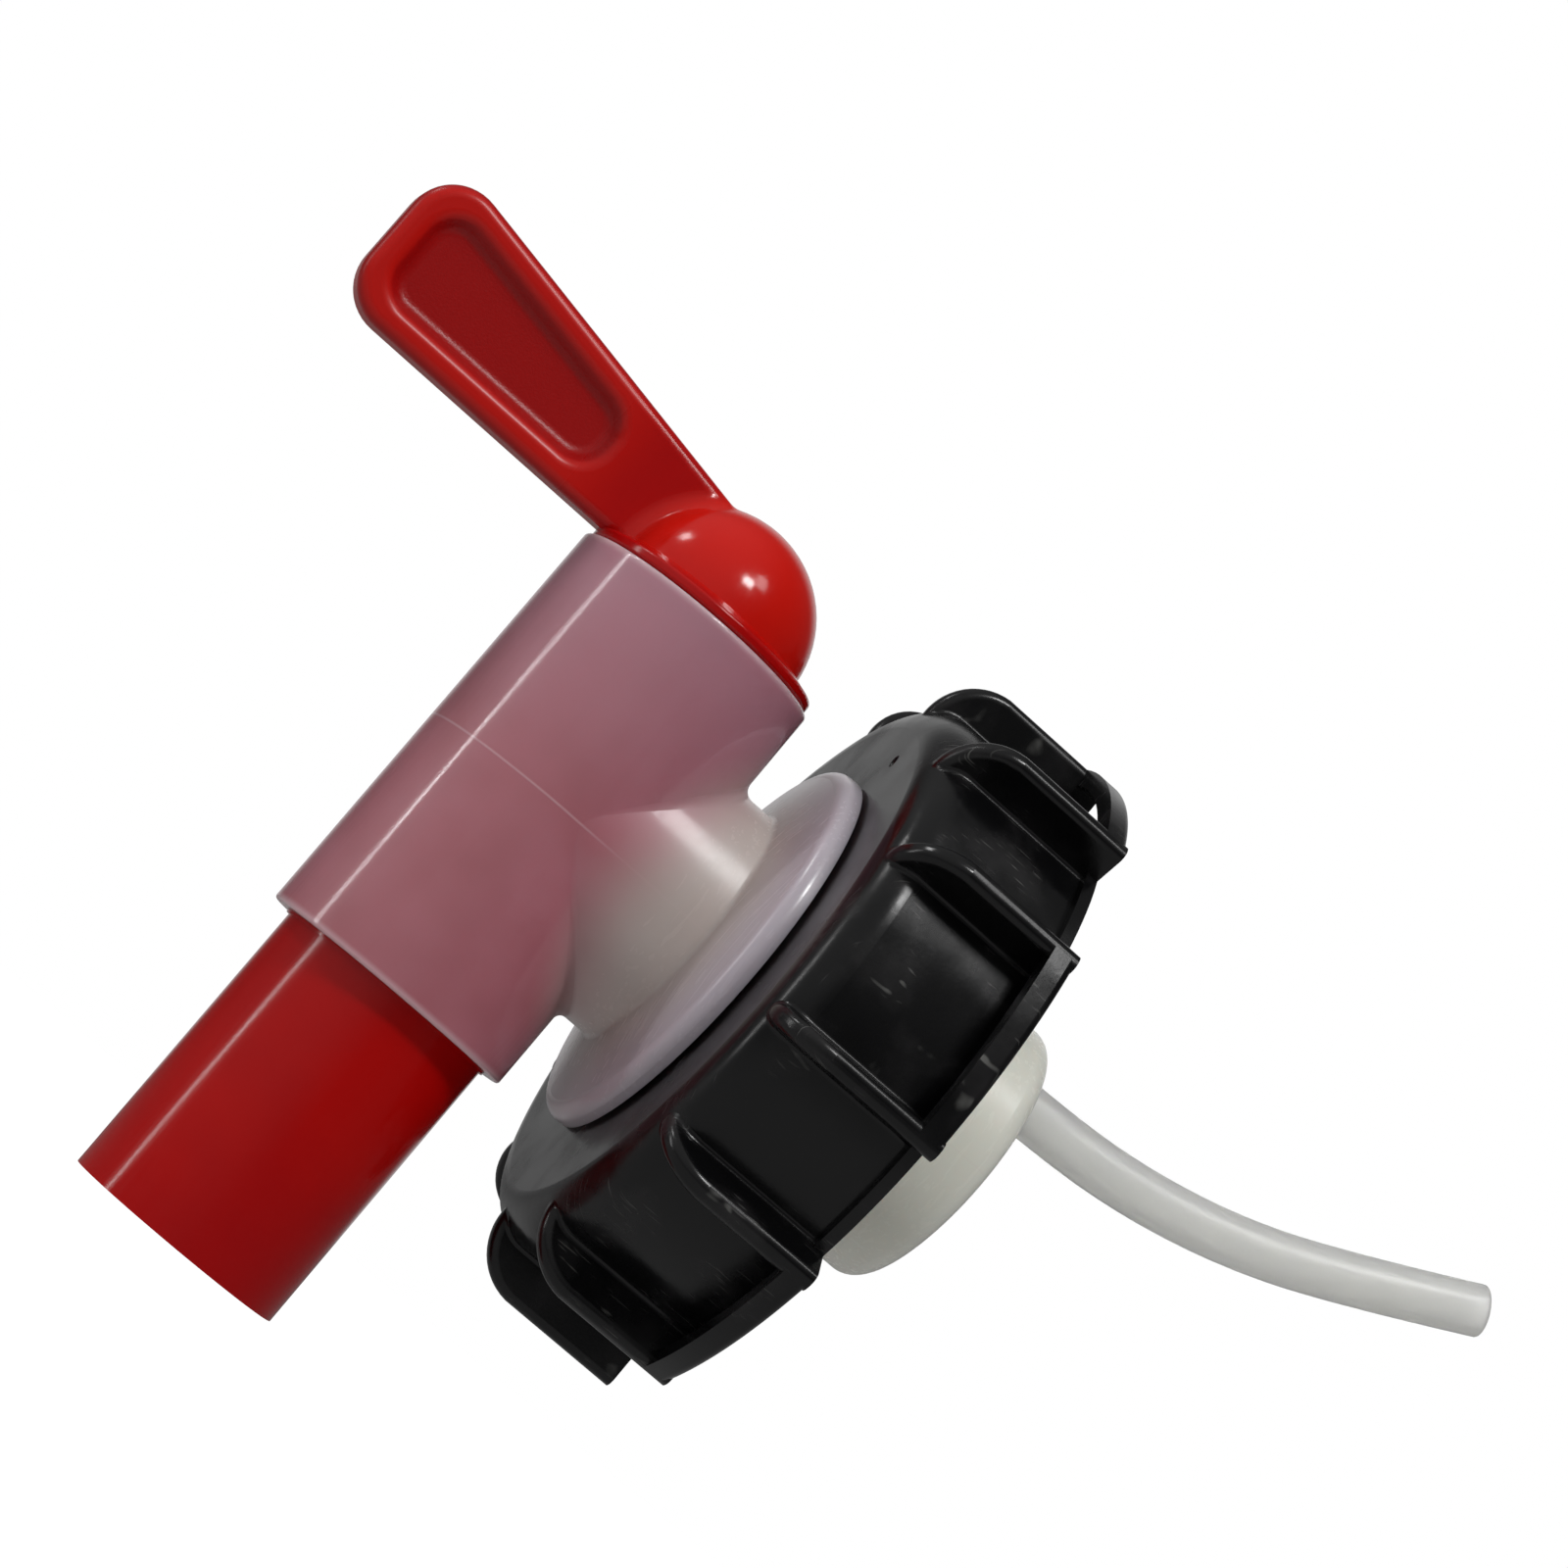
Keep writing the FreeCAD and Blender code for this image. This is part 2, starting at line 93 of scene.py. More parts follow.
def makeVentTube(setup):
    curve = bpy.data.curves.new("ventTubeRoute", "CURVE")
    curve.dimensions = "3D"
    spline = curve.splines.new("NURBS")
    spline.points.add(len(setup["route"]) - 1)
    for point, (x, z) in zip(spline.points, setup["route"]):
        point.co = (x * mm, 0, z * mm, 1)
    spline.order_u = 3
    spline.use_endpoint_u = True
    spline.resolution_u = setup["routeSteps"]
    route = bpy.data.objects.new("ventTubeRoute", curve)
    scene.collection.objects.link(route)
    bpy.context.view_layer.update()
    line = bpy.data.meshes.new_from_object(route)
    path = [vertex.co.copy() for vertex in line.vertices]
    bpy.data.meshes.remove(line)

    curve.bevel_depth = setup["outerRadius"] * mm
    curve.bevel_resolution = setup["sides"] // 4 - 1
    bpy.context.view_layer.objects.active = route
    route.select_set(True)
    bpy.ops.object.convert(target="MESH")
    tube = bpy.context.object
    tube.name = "ventTube"
    wall = tube.modifiers.new("wall", "SOLIDIFY")
    wall.thickness = setup["wall"] * mm
    wall.offset = -1
    bpy.ops.object.modifier_apply(modifier="wall")
    rim = tube.modifiers.new("rim", "BEVEL")
    rim.width = setup["rimRadius"] * mm
    rim.segments = setup["rimSteps"]
    rim.limit_method = "ANGLE"
    rim.angle_limit = math.radians(setup["rimAngle"])
    bpy.ops.object.modifier_apply(modifier="rim")
    bpy.ops.object.shade_smooth_by_angle(angle=math.radians(setup["smoothAngle"]))
    tube.select_set(False)
    return tube, path


tube, tubePath = makeVentTube(ventTube)
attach(tube, "body")
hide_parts("vent_tube")
print("vent tube made")


def linearColour(code):                # from an sRGB hex code
    channels = []
    for start in (0, 2, 4):
        value = int(code[start:start + 2], 16) / 255
        channels.append(value / 12.92 if value <= 0.04045 else ((value + 0.055) / 1.055) ** 2.4)
    return (*channels, 1.0)


def perMetre(size):
    return 1 / (size * mm)             # a pattern's scale from its size in mm


def addNode(tree, kind, values=None, links=None, **settings):
    node = tree.nodes.new("ShaderNode" + kind)
    for name, value in settings.items():
        setattr(node, name, value)
    for socket, value in (values or {}).items():
        node.inputs[socket].default_value = linearColour(value) if isinstance(value, str) else value
    for socket, source in (links or {}).items():
        tree.links.new(source, node.inputs[socket])
    return node


def newMaterial(name, looks):          # looks: what is the same all over the surface
    material = bpy.data.materials.new(name)
    material.use_nodes = True
    tree = material.node_tree
    shader = tree.nodes["Principled BSDF"]
    for socket, value in looks.items():
        shader.inputs[socket].default_value = value
    place = addNode(tree, "TexCoord").outputs["Object"]
    return material, tree, shader, place


def useMaterial(piece, material):
    piece.data.materials.clear()
    piece.data.materials.append(material)


mixFactor, mixA, mixB, mixResult = 0, 6, 7, 2        # the colour sockets of a Mix node


# natural polyethylene, injection moulded: milky and waxy under a thin glossy skin, with the
# red plug showing pink through the barrel's wall
bodyFinish = {
    "barrelX": -27.3,                  # mm, the barrel's axis
    "pinkFrom": 3.0, "pinkTo": 14.0,   # mm along X from that axis, where the plug stops showing
    "pinkBulge": 0.024,                # per mm, above and below the neck it shows further along
    "pinkRipple": 0.5,                 # mm, either way, how uneven that edge is
    "pink": "BC737F", "deepPink": "AF636D",
    "sheenLilac": "BC8190", "sheenHeight": 20.0,                  # mm, painted sheen: lighter lilac towards the handle, where the wall is lit flat
    "neck": "C3B6B0",
    "milky": "BDB4BD", "milkyFrom": -10.0, "milkyTo": -7.5,      # mm along X, the flange
    "spigot": "F8F6E8", "spigotFrom": 0.0, "spigotTo": 10.0,     # mm along X, behind the cap
    "rimColour": "DDB9BF", "rimShare": 0.7,                      # thin edges of the barrel's two ends
    "rimFrom": 22.3, "rimTo": 23.1,    # mm above or below the neck's axis
    "cloudSize": 14.0,                 # mm, flow marks in the moulding
    "cloudRange": (0.35, 0.65), "rippleRange": (0.3, 0.7),       # noise values that they run between
    "streakWidth": 0.5, "streakLength": 18.0,                    # mm, drag marks from the mould
    "streakHeight": 0.012, "streakStrength": 0.15,
    "rough": (0.42, 0.55), "roughRange": (0.3, 0.7),             # between and along the drag marks
    "skinRough": (0.07, 0.16), "skinRange": (0.35, 0.7),
    "neckDull": 0.14,                  # added to the skin's roughness on the neck and the flange
    "seamLineHighlight": "E2C3C8", "seamHalf": 0.2,                     # mm, the mould's parting line, drawn lighter as a painted highlight
    "seamHeight": 0.05, "seamStrength": 0.5,
    "seamFrom": 1.0, "seamTo": 7.0,    # mm along X from the axis, where the line and its painted highlight fade
    "seamShare": (0.4, 0.06),          # how much of the line and its painted highlight shows before and after that
    "speckColour": "3A2A28", "speckShare": 0.8,                  # dirt moulded in
    "speckSpacing": 7.0, "speckRadius": 0.13, "speckCore": 0.6,  # mm, and the solid part of a speck
    "grain": 0.22,                     # mm, skin texture, coarser than the real one
    "grainHeight": 0.012, "grainStrength": 0.25,
    "looks": {"IOR": 1.51, "Coat Weight": 0.9, "Coat IOR": 1.51, "Subsurface Weight": 0.6,
              "Subsurface Radius": (1.0, 0.85, 0.8), "Subsurface Scale": 4.0 * mm},
}


def shareOverPlug(tree, along, height, cloud, setup):
    rise = addNode(tree, "Math", links={0: height, 1: height}, operation="MULTIPLY").outputs[0]
    bulged = addNode(tree, "Math", {1: -setup["pinkBulge"] / mm}, {0: rise, 2: along},
                     operation="MULTIPLY_ADD").outputs[0]
    low, high = setup["rippleRange"]
    depth = setup["pinkRipple"] * mm
    ripple = addNode(tree, "MapRange", {"From Min": low, "From Max": high, "To Min": -depth,
                                        "To Max": depth}, {"Value": cloud}).outputs[0]
    uneven = addNode(tree, "Math", links={0: bulged, 1: ripple}, operation="ADD").outputs[0]
    start, end = ((setup["barrelX"] + setup[name]) * mm for name in ("pinkFrom", "pinkTo"))
    return addNode(tree, "MapRange", {"From Min": start, "From Max": end, "To Min": 1, "To Max": 0},
                   {"Value": uneven}, interpolation_type="SMOOTHSTEP").outputs[0]


# the parting line: a real fine ridge for the bump, which the colour also draws lighter as a painted highlight
def partingLine(tree, along, height, setup):
    line = addNode(tree, "MapRange", {"From Max": setup["seamHalf"] * mm, "To Min": 1, "To Max": 0},
                   {"Value": height}, interpolation_type="SMOOTHSTEP").outputs[0]
    start, end = ((setup["barrelX"] + setup[name]) * mm for name in ("seamFrom", "seamTo"))
    clear, faint = setup["seamShare"]
    fade = addNode(tree, "MapRange", {"From Min": start, "From Max": end, "To Min": clear, "To Max": faint},
                   {"Value": along}).outputs[0]
    return addNode(tree, "Math", links={0: line, 1: fade}, operation="MULTIPLY").outputs[0]


def mouldedDirt(tree, place, setup):
    cells = addNode(tree, "TexVoronoi", {"Scale": perMetre(setup["speckSpacing"])}, {"Vector": place})
    edge = setup["speckRadius"] / setup["speckSpacing"]
    return addNode(tree, "MapRange", {"From Min": setup["speckCore"] * edge, "From Max": edge,
                                      "To Min": setup["speckShare"], "To Max": 0},
                   {"Value": cells.outputs["Distance"]}).outputs[0]


def bodyColour(tree, place, along, height, cloud, overPlug, seam, setup):
    low, high = setup["cloudRange"]
    cloudy = addNode(tree, "MapRange", {"From Min": low, "From Max": high}, {"Value": cloud}).outputs[0]
    pink = addNode(tree, "Mix", {mixA: setup["pink"], mixB: setup["deepPink"]}, {mixFactor: cloudy},
                   data_type="RGBA").outputs[mixResult]
    # painted sheen: the wall is drawn lighter lilac towards the handle, where it is lit flat
    up = addNode(tree, "SeparateXYZ", links={0: place}).outputs["Z"]
    sheenShare = addNode(tree, "MapRange", {"From Max": setup["sheenHeight"] * mm}, {"Value": up}).outputs[0]
    pink = addNode(tree, "Mix", {mixB: setup["sheenLilac"]}, {mixFactor: sheenShare, mixA: pink},
                   data_type="RGBA").outputs[mixResult]
    colour = addNode(tree, "Mix", {mixA: setup["neck"]}, {mixFactor: overPlug, mixB: pink},
                     data_type="RGBA").outputs[mixResult]
    nearFlange = addNode(tree, "MapRange", {"From Min": setup["milkyFrom"] * mm,
                                            "From Max": setup["milkyTo"] * mm},
                         {"Value": along}, interpolation_type="SMOOTHSTEP").outputs[0]
    behindCap = addNode(tree, "MapRange", {"From Min": setup["spigotFrom"] * mm,
                                           "From Max": setup["spigotTo"] * mm},
                        {"Value": along}).outputs[0]
    atRim = addNode(tree, "MapRange", {"From Min": setup["rimFrom"] * mm, "From Max": setup["rimTo"] * mm,
                                       "To Max": setup["rimShare"]},
                    {"Value": height}, interpolation_type="SMOOTHSTEP").outputs[0]
    layers = [(nearFlange, "milky"), (behindCap, "spigot"), (atRim, "rimColour"), (seam, "seamLineHighlight"),
              (mouldedDirt(tree, place, setup), "speckColour")]
    for share, name in layers:         # each lies over the ones before it
        colour = addNode(tree, "Mix", {mixB: setup[name]}, {mixFactor: share, mixA: colour},
                         data_type="RGBA").outputs[mixResult]
    return colour


def bodySurface(tree, shader, place, overPlug, seam, setup):
    across, down = perMetre(setup["streakWidth"]), perMetre(setup["streakLength"])
    drawn = addNode(tree, "Mapping", {"Scale": (across, across, down)}, {"Vector": place}).outputs[0]
    streak = addNode(tree, "TexNoise", {"Scale": 1, "Detail": 2}, {"Vector": drawn}).outputs["Fac"]
    roughness = []
    for name, values in (("rough", "roughRange"), ("skinRough", "skinRange")):
        (low, high), (smooth, dull) = setup[values], setup[name]
        roughness.append(addNode(tree, "MapRange", {"From Min": low, "From Max": high, "To Min": smooth,
                                                    "To Max": dull}, {"Value": streak}).outputs[0])
    duller = addNode(tree, "MapRange", {"From Min": 1, "From Max": 0, "To Max": setup["neckDull"]},
                     {"Value": overPlug}).outputs[0]
    skinRough = addNode(tree, "Math", links={0: roughness[1], 1: duller}, operation="ADD").outputs[0]
    tree.links.new(roughness[0], shader.inputs["Roughness"])
    tree.links.new(skinRough, shader.inputs["Coat Roughness"])
    grain = addNode(tree, "TexNoise", {"Scale": perMetre(setup["grain"]), "Detail": 2},
                    {"Vector": place}).outputs["Fac"]
    relief = None
    for name, height in (("grain", grain), ("streak", streak), ("seam", seam)):    # one upon another
        relief = addNode(tree, "Bump", {"Strength": setup[name + "Strength"],
                                        "Distance": setup[name + "Height"] * mm},
                         {"Height": height, "Normal": relief} if relief else {"Height": height}).outputs[0]
    tree.links.new(relief, shader.inputs["Normal"])
    tree.links.new(relief, shader.inputs["Coat Normal"])


def naturalPolyethylene(setup):
    material, tree, shader, place = newMaterial("naturalPolyethylene", setup["looks"])
    split = addNode(tree, "SeparateXYZ", links={0: place})
    along = split.outputs["X"]
    height = addNode(tree, "Math", links={0: split.outputs["Z"]}, operation="ABSOLUTE").outputs[0]
    cloud = addNode(tree, "TexNoise", {"Scale": perMetre(setup["cloudSize"]), "Detail": 2},
                    {"Vector": place}).outputs["Fac"]
    overPlug = shareOverPlug(tree, along, height, cloud, setup)
    seam = partingLine(tree, along, height, setup)
    colour = bodyColour(tree, place, along, height, cloud, overPlug, seam, setup)
    tree.links.new(colour, shader.inputs["Base Color"])
    bodySurface(tree, shader, place, overPlug, seam, setup)
    return material


# red polyethylene with masterbatch colour, injection moulded: strong and glossy, but dull
# on the handle's sunk floor, where the mould was spark eroded
plugFinish = {
    "red": "BA0907", "deepRed": "AE0508",
    "cloudSize": 16.0, "cloudRange": (0.35, 0.65),               # mm, flow marks
    "domeGlowRed": "D4170B",               # painted glow: lighter orange-red where light shines through the hollow dome
    "domeCentre": (-27.3, 0, 25.0), "domeRadius": 13.0,          # mm
    "domeCore": 0.8,                   # of the radius, where the glow starts to fade
    "borderGlowRed": "CE140A", "bladeShare": 0.8,                     # painted glow: lighter orange-red where light shines through the thin border
    "bladeNear": -40.0, "bladeFar": -48.0,                       # mm along X, where the handle's looks set in
    # painted shade: darker red over the sunk floor and up its walls
    "recessShadeRed": "A80909",
    "floorStart": -43.0,               # mm along X, past the dome
    "floorDepth": 1.75, "wallDepth": 2.45,                       # mm from the blade's middle, grain and painted shade to plain
    "grain": 0.28, "grainHeight": 0.06, "grainStrength": 0.6,    # mm, the sunk floor's grain
    "skin": 0.3, "skinHeight": 0.012, "skinStrength": 0.1,       # mm, fine unevenness of the skin
    "scratchWidth": 0.35, "scratchLength": 14.0,                 # mm
    "rough": (0.11, 0.19), "roughRange": (0.3, 0.7),             # between and along the scratches
    "bladeRough": 0.3,
    "looks": {"IOR": 1.51, "Specular IOR Level": 0.28, "Subsurface Weight": 0.12,
              "Subsurface Radius": (1.0, 0.15, 0.1), "Subsurface Scale": 1.0 * mm},
}


def handleShares(tree, split, setup):  # shares of the sunk floor with its painted shade, of the raised border's painted glow, and of the whole handle
    side = addNode(tree, "Math", links={0: split.outputs["Y"]}, operation="ABSOLUTE").outputs[0]
    floor, wall = setup["floorDepth"] * mm, setup["wallDepth"] * mm
    sunk = addNode(tree, "MapRange", {"From Min": floor, "From Max": wall, "To Min": 1, "To Max": 0},
                   {"Value": side}, interpolation_type="SMOOTHSTEP").outputs[0]
    pastDome = addNode(tree, "Math", {1: setup["floorStart"] * mm}, {0: split.outputs["X"]},
                       operation="LESS_THAN").outputs[0]
    sunkFloorAndShade = addNode(tree, "Math", links={0: sunk, 1: pastDome}, operation="MULTIPLY").outputs[0]
    far, near = setup["bladeFar"] * mm, setup["bladeNear"] * mm
    onBlade = addNode(tree, "MapRange", {"From Min": far, "From Max": near, "To Min": 1, "To Max": 0},
                      {"Value": split.outputs["X"]}, interpolation_type="SMOOTHSTEP").outputs[0]
    raised = addNode(tree, "Math", {0: setup["bladeShare"]}, {1: sunk}, operation="SUBTRACT",
                     use_clamp=True).outputs[0]
    borderGlowShare = addNode(tree, "Math", links={0: raised, 1: onBlade}, operation="MULTIPLY").outputs[0]
    return sunkFloorAndShade, borderGlowShare, onBlade


def plugColour(tree, place, sunkFloorAndShade, borderGlowShare, setup):
    cloud = addNode(tree, "TexNoise", {"Scale": perMetre(setup["cloudSize"]), "Detail": 2},
                    {"Vector": place}).outputs["Fac"]
    low, high = setup["cloudRange"]
    cloudy = addNode(tree, "MapRange", {"From Min": low, "From Max": high}, {"Value": cloud}).outputs[0]
    colour = addNode(tree, "Mix", {mixA: setup["red"], mixB: setup["deepRed"]}, {mixFactor: cloudy},
                     data_type="RGBA").outputs[mixResult]
    fromDome = addNode(tree, "VectorMath", {1: [side * mm for side in setup["domeCentre"]]}, {0: place},
                       operation="DISTANCE").outputs["Value"]
    radius = setup["domeRadius"] * mm
    domeGlowShare = addNode(tree, "MapRange", {"From Min": setup["domeCore"] * radius, "From Max": radius,
                                        "To Min": 1, "To Max": 0},
                     {"Value": fromDome}, interpolation_type="SMOOTHSTEP").outputs[0]
    # painted glow on the dome and the raised border, painted shade over the sunk floor
    for share, name in ((domeGlowShare, "domeGlowRed"), (borderGlowShare, "borderGlowRed"), (sunkFloorAndShade, "recessShadeRed")):
        colour = addNode(tree, "Mix", {mixB: setup[name]}, {mixFactor: share, mixA: colour},
                         data_type="RGBA").outputs[mixResult]
    return colour


def redPolyethylene(setup):
    material, tree, shader, place = newMaterial("redPolyethylene", setup["looks"])
    split = addNode(tree, "SeparateXYZ", links={0: place})
    sunkFloorAndShade, borderGlowShare, onBlade = handleShares(tree, split, setup)
    tree.links.new(plugColour(tree, place, sunkFloorAndShade, borderGlowShare, setup), shader.inputs["Base Color"])

    across, down = perMetre(setup["scratchWidth"]), perMetre(setup["scratchLength"])
    drawn = addNode(tree, "Mapping", {"Scale": (across, across, down)}, {"Vector": place}).outputs[0]
    scratch = addNode(tree, "TexNoise", {"Scale": 1, "Detail": 3}, {"Vector": drawn}).outputs["Fac"]
    (low, high), (smooth, dull) = setup["roughRange"], setup["rough"]
    plainRough = addNode(tree, "MapRange", {"From Min": low, "From Max": high, "To Min": smooth,
                                            "To Max": dull}, {"Value": scratch}).outputs[0]
    bladeRough = addNode(tree, "Math", {1: setup["bladeRough"]}, {0: onBlade},
                         operation="MULTIPLY").outputs[0]
    rough = addNode(tree, "Math", links={0: plainRough, 1: bladeRough}, operation="MAXIMUM").outputs[0]
    tree.links.new(rough, shader.inputs["Roughness"])

    skin = addNode(tree, "TexNoise", {"Scale": perMetre(setup["skin"]), "Detail": 2},
                   {"Vector": place}).outputs["Fac"]
    uneven = addNode(tree, "Bump", {"Strength": setup["skinStrength"],
                                    "Distance": setup["skinHeight"] * mm}, {"Height": skin}).outputs[0]
    grain = addNode(tree, "TexNoise", {"Scale": perMetre(setup["grain"]), "Detail": 3, "Roughness": 0.65},
                    {"Vector": place}).outputs["Fac"]
    grained = addNode(tree, "Math", links={0: grain, 1: sunkFloorAndShade}, operation="MULTIPLY").outputs[0]
    eroded = addNode(tree, "Bump", {"Strength": setup["grainStrength"],
                                    "Distance": setup["grainHeight"] * mm},
                     {"Height": grained, "Normal": uneven}).outputs[0]
    tree.links.new(eroded, shader.inputs["Normal"])
    return material


# black polyethylene with carbon black, injection moulded: satin, with dust and scuffs and a
# strong sheen at a low angle
capFinish = {
    "black": "0A0A0B", "dusty": "201F20", "scuffed": "6C6C69",
    "cloudSize": 7.0, "cloudRange": (0.5, 0.75),                 # mm, patches of handling dust
    "rough": (0.15, 0.32), "roughRange": (0.3, 0.7),             # between and on the patches
    "scuffRough": 0.25,                # added where it is scuffed
    "scuffWidth": 0.18, "scuffLength": 3.5,                      # mm
    "scuffTurns": ((0.4, 0.3, 0.9), (1.3, -0.6, 2.2)),           # two ways that the scuffs run
    "scuffRange": (0.68, 0.76),
    "grain": 0.45,                     # mm, the skin's fine grain
    "bumpHeight": 0.02, "bumpStrength": 0.3,                     # mm, grain and scuffs alike
    "looks": {"IOR": 1.51, "Specular IOR Level": 0.32},
}


def scuffMarks(tree, place, setup):
    scale = [perMetre(setup[side]) for side in ("scuffLength", "scuffWidth", "scuffLength")]
    low, high = setup["scuffRange"]
    marks = []
    for turn in setup["scuffTurns"]:
        turned = addNode(tree, "Mapping", {"Rotation": turn, "Scale": scale}, {"Vector": place}).outputs[0]
        lines = addNode(tree, "TexNoise", {"Scale": 1, "Detail": 1, "Distortion": 0.4}, {"Vector": turned})
        marks.append(addNode(tree, "MapRange", {"From Min": low, "From Max": high},
                             {"Value": lines.outputs["Fac"]}).outputs[0])
    return addNode(tree, "Math", links={0: marks[0], 1: marks[1]}, operation="MAXIMUM").outputs[0]


def blackPolyethylene(setup):
    material, tree, shader, place = newMaterial("blackPolyethylene", setup["looks"])
    cloud = addNode(tree, "TexNoise", {"Scale": perMetre(setup["cloudSize"]), "Detail": 4},
                    {"Vector": place}).outputs["Fac"]
    low, high = setup["cloudRange"]
    dusty = addNode(tree, "MapRange", {"From Min": low, "From Max": high}, {"Value": cloud}).outputs[0]
    scuff = addNode(tree, "Math", links={0: scuffMarks(tree, place, setup), 1: dusty},
                    operation="MULTIPLY").outputs[0]
    colour = addNode(tree, "Mix", {mixA: setup["black"], mixB: setup["dusty"]}, {mixFactor: dusty},
                     data_type="RGBA").outputs[mixResult]
    colour = addNode(tree, "Mix", {mixB: setup["scuffed"]}, {mixFactor: scuff, mixA: colour},
                     data_type="RGBA").outputs[mixResult]
    tree.links.new(colour, shader.inputs["Base Color"])

    (low, high), (smooth, dull) = setup["roughRange"], setup["rough"]
    rough = addNode(tree, "MapRange", {"From Min": low, "From Max": high, "To Min": smooth,
                                       "To Max": dull}, {"Value": cloud}).outputs[0]
    worn = addNode(tree, "Math", {1: setup["scuffRough"]}, {0: scuff, 2: rough},
                   operation="MULTIPLY_ADD").outputs[0]
    tree.links.new(worn, shader.inputs["Roughness"])
    grain = addNode(tree, "TexNoise", {"Scale": perMetre(setup["grain"]), "Detail": 3},
                    {"Vector": place}).outputs["Fac"]
    bump = {"Strength": setup["bumpStrength"], "Distance": setup["bumpHeight"] * mm}
    skin = addNode(tree, "Bump", bump, {"Height": grain}).outputs[0]
    sunk = addNode(tree, "Bump", bump, {"Height": scuff, "Normal": skin}, invert=True).outputs[0]
    tree.links.new(sunk, shader.inputs["Normal"])
    return material


# ethylene-propylene rubber, moulded flat: dull and dark
gasketFinish = {
    "dark": "1A1A1B", "light": "2A2A2B",
    "grain": 0.6, "grainHeight": 0.05, "grainStrength": 0.3,     # mm
    "looks": {"Roughness": 0.75},
}


def gasketRubber(setup):
    material, tree, shader, place = newMaterial("gasketRubber", setup["looks"])
    grain = addNode(tree, "TexNoise", {"Scale": perMetre(setup["grain"]), "Detail": 4},
                    {"Vector": place}).outputs["Fac"]
    colour = addNode(tree, "Mix", {mixA: setup["dark"], mixB: setup["light"]}, {mixFactor: grain},
                     data_type="RGBA").outputs[mixResult]
    tree.links.new(colour, shader.inputs["Base Color"])
    bump = addNode(tree, "Bump", {"Strength": setup["grainStrength"],
                                  "Distance": setup["grainHeight"] * mm}, {"Height": grain}).outputs[0]
    tree.links.new(bump, shader.inputs["Normal"])
    return material


# soft natural polyethylene, extruded: pale and waxy, light glows through its wall
tubeFinish = {
    "pale": "FCFCF8", "cloudy": "F4F4F0",
    "cloudSize": 5.0,                  # mm
    "looks": {"Roughness": 0.5, "IOR": 1.5, "Transmission Weight": 0.6, "Coat Weight": 0.3,
              "Coat Roughness": 0.3, "Subsurface Weight": 1.0, "Subsurface Radius": (1.0, 1.0, 0.95),
              "Subsurface Scale": 4.0 * mm},
}


def tubePolyethylene(setup):
    material, tree, shader, place = newMaterial("tubePolyethylene", setup["looks"])
    cloud = addNode(tree, "TexNoise", {"Scale": perMetre(setup["cloudSize"]), "Detail": 3},
                    {"Vector": place}).outputs["Fac"]
    colour = addNode(tree, "Mix", {mixA: setup["pale"], mixB: setup["cloudy"]}, {mixFactor: cloud},
                     data_type="RGBA").outputs[mixResult]
    tree.links.new(colour, shader.inputs["Base Color"])
    return material


useMaterial(nodes["valve_body"], naturalPolyethylene(bodyFinish))
useMaterial(nodes["plug"], redPolyethylene(plugFinish))
useMaterial(nodes["screw_cap"], blackPolyethylene(capFinish))
useMaterial(nodes["gasket"], gasketRubber(gasketFinish))
tubeMaterial = tubePolyethylene(tubeFinish)
useMaterial(tube, tubeMaterial)
useMaterial(nodes["vent_tube"], tubeMaterial)
print("materials made")


# floor, room and lamps: white to look at, but dim for reflections, so the lamps draw them
studio = {
    "floorZ": -160, "floorSize": 12000,                          # mm
    "floorColour": "C8C8C8", "floorRough": 0.9,
    "floorGlow": 0.9,                  # a lit table, as the camera sees it
    "dimLevel": 0.07,                  # the room's light all round
    "glows": [                         # broad soft light on the walls
        {"azimuth": 168, "elevation": 16, "level": 0.6, "from": 0.8, "to": 0.99},
        {"azimuth": -62, "elevation": 38, "level": 0.42, "from": 0.12, "to": 1.0},
    ],
    "lampDistance": 900,               # mm
    "lamps": {
        "strip": {"azimuth": -93, "elevation": 5, "width": 40, "height": 420, "watts": 0.75},
        "sideBox": {"azimuth": -96, "elevation": 38, "width": 110, "height": 110, "watts": 0.7},
        "topBox": {"azimuth": 3.5, "elevation": 52, "width": 150, "height": 120, "watts": 2.8},
        "neckBox": {"azimuth": 24, "elevation": 60, "width": 150, "height": 200, "watts": 0.8},
    },
}


def seenDirectly(tree):                # by the camera, or through something clear
    path = addNode(tree, "LightPath").outputs
    return addNode(tree, "Math", links={0: path["Is Camera Ray"], 1: path["Is Transmission Ray"]},
                   operation="MAXIMUM").outputs[0]


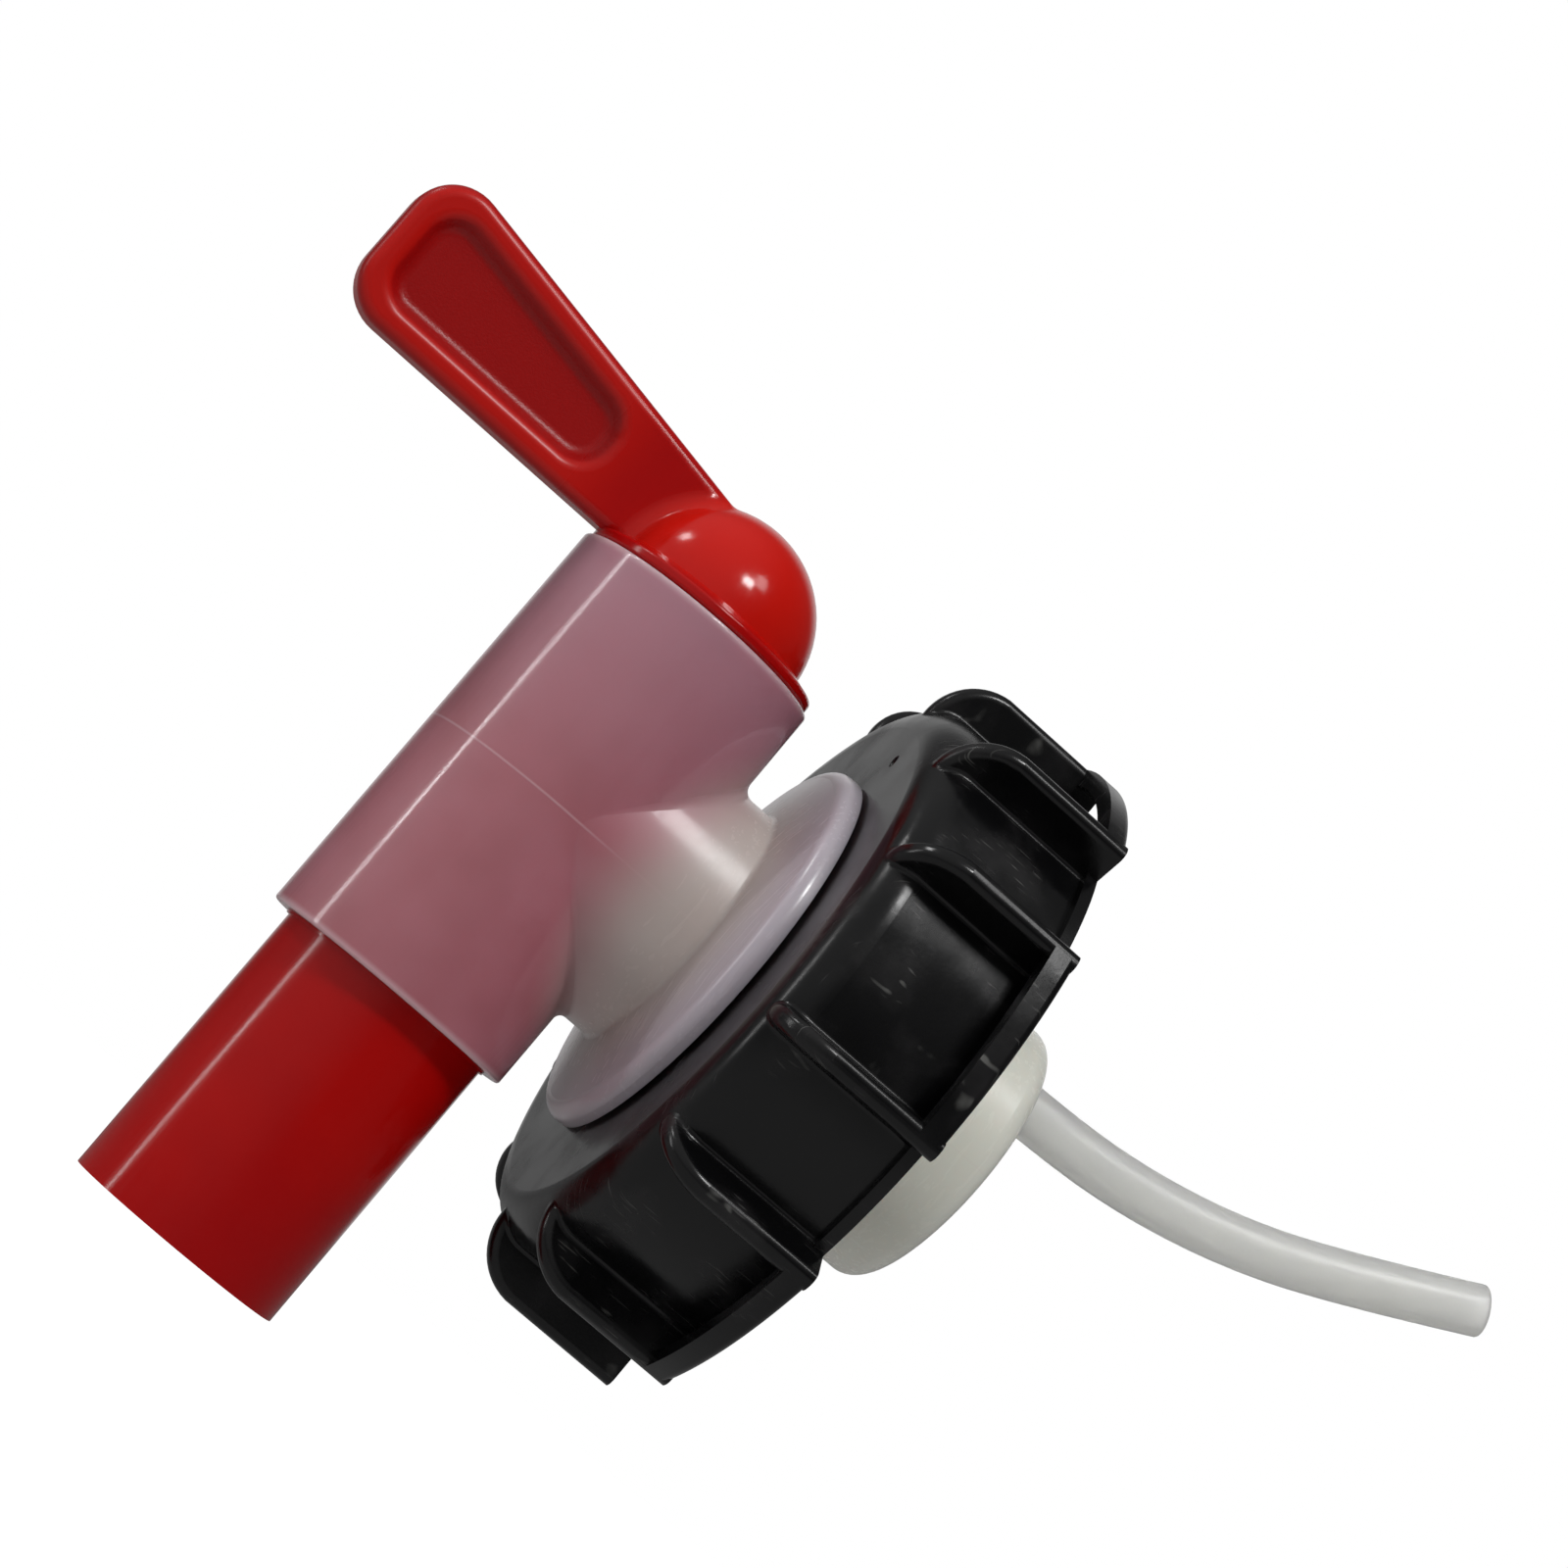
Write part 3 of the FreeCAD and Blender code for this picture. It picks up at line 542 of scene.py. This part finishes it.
def addFloor(setup):
    bpy.ops.mesh.primitive_plane_add(size=setup["floorSize"] * mm, location=(0, 0, setup["floorZ"] * mm))
    floor = bpy.context.object
    floor.name = "studioFloor"
    material = bpy.data.materials.new("studioFloor")
    material.use_nodes = True
    tree = material.node_tree
    shader = tree.nodes["Principled BSDF"]
    shader.inputs["Base Color"].default_value = linearColour(setup["floorColour"])
    shader.inputs["Roughness"].default_value = setup["floorRough"]
    shader.inputs["Specular IOR Level"].default_value = 0
    shader.inputs["Emission Color"].default_value = linearColour("FFFFFF")
    glow = addNode(tree, "Math", {1: setup["floorGlow"]}, {0: seenDirectly(tree)}, operation="MULTIPLY")
    tree.links.new(glow.outputs[0], shader.inputs["Emission Strength"])
    floor.data.materials.append(material)
    floor.select_set(False)


def addRoom(setup):
    world = bpy.data.worlds.new("studioRoom")
    scene.world = world
    world.use_nodes = True
    tree = world.node_tree
    direction = addNode(tree, "TexCoord").outputs["Generated"]
    level = addNode(tree, "Value").outputs[0]
    level.default_value = setup["dimLevel"]
    for glow in setup["glows"]:
        towards = backVector(glow["azimuth"], glow["elevation"])
        facing = addNode(tree, "VectorMath", {1: towards}, {0: direction}, operation="DOT_PRODUCT")
        lobe = addNode(tree, "MapRange", {"From Min": glow["from"], "From Max": glow["to"],
                                          "To Max": glow["level"]},
                       {"Value": facing.outputs["Value"]}, interpolation_type="SMOOTHSTEP")
        level = addNode(tree, "Math", links={0: level, 1: lobe.outputs[0]}, operation="ADD").outputs[0]
    shown = addNode(tree, "Math", links={0: level, 1: seenDirectly(tree)}, operation="MAXIMUM")
    background = tree.nodes["Background"]
    background.inputs["Color"].default_value = linearColour("FFFFFF")
    tree.links.new(shown.outputs[0], background.inputs["Strength"])


def addLamp(name, setup, distance):
    data = bpy.data.lights.new(name, "AREA")
    data.shape = "RECTANGLE"
    data.size = setup["width"] * mm
    data.size_y = setup["height"] * mm
    data.energy = setup["watts"]
    lamp = bpy.data.objects.new(name, data)
    scene.collection.objects.link(lamp)
    back = backVector(setup["azimuth"], setup["elevation"])
    lamp.location = back * distance * mm
    lamp.rotation_euler = (-back).to_track_quat("-Z", "Y").to_euler()


addFloor(studio)
addRoom(studio)
for lampName, lampSetup in studio["lamps"].items():
    addLamp(lampName, lampSetup, studio["lampDistance"])
print("studio made")
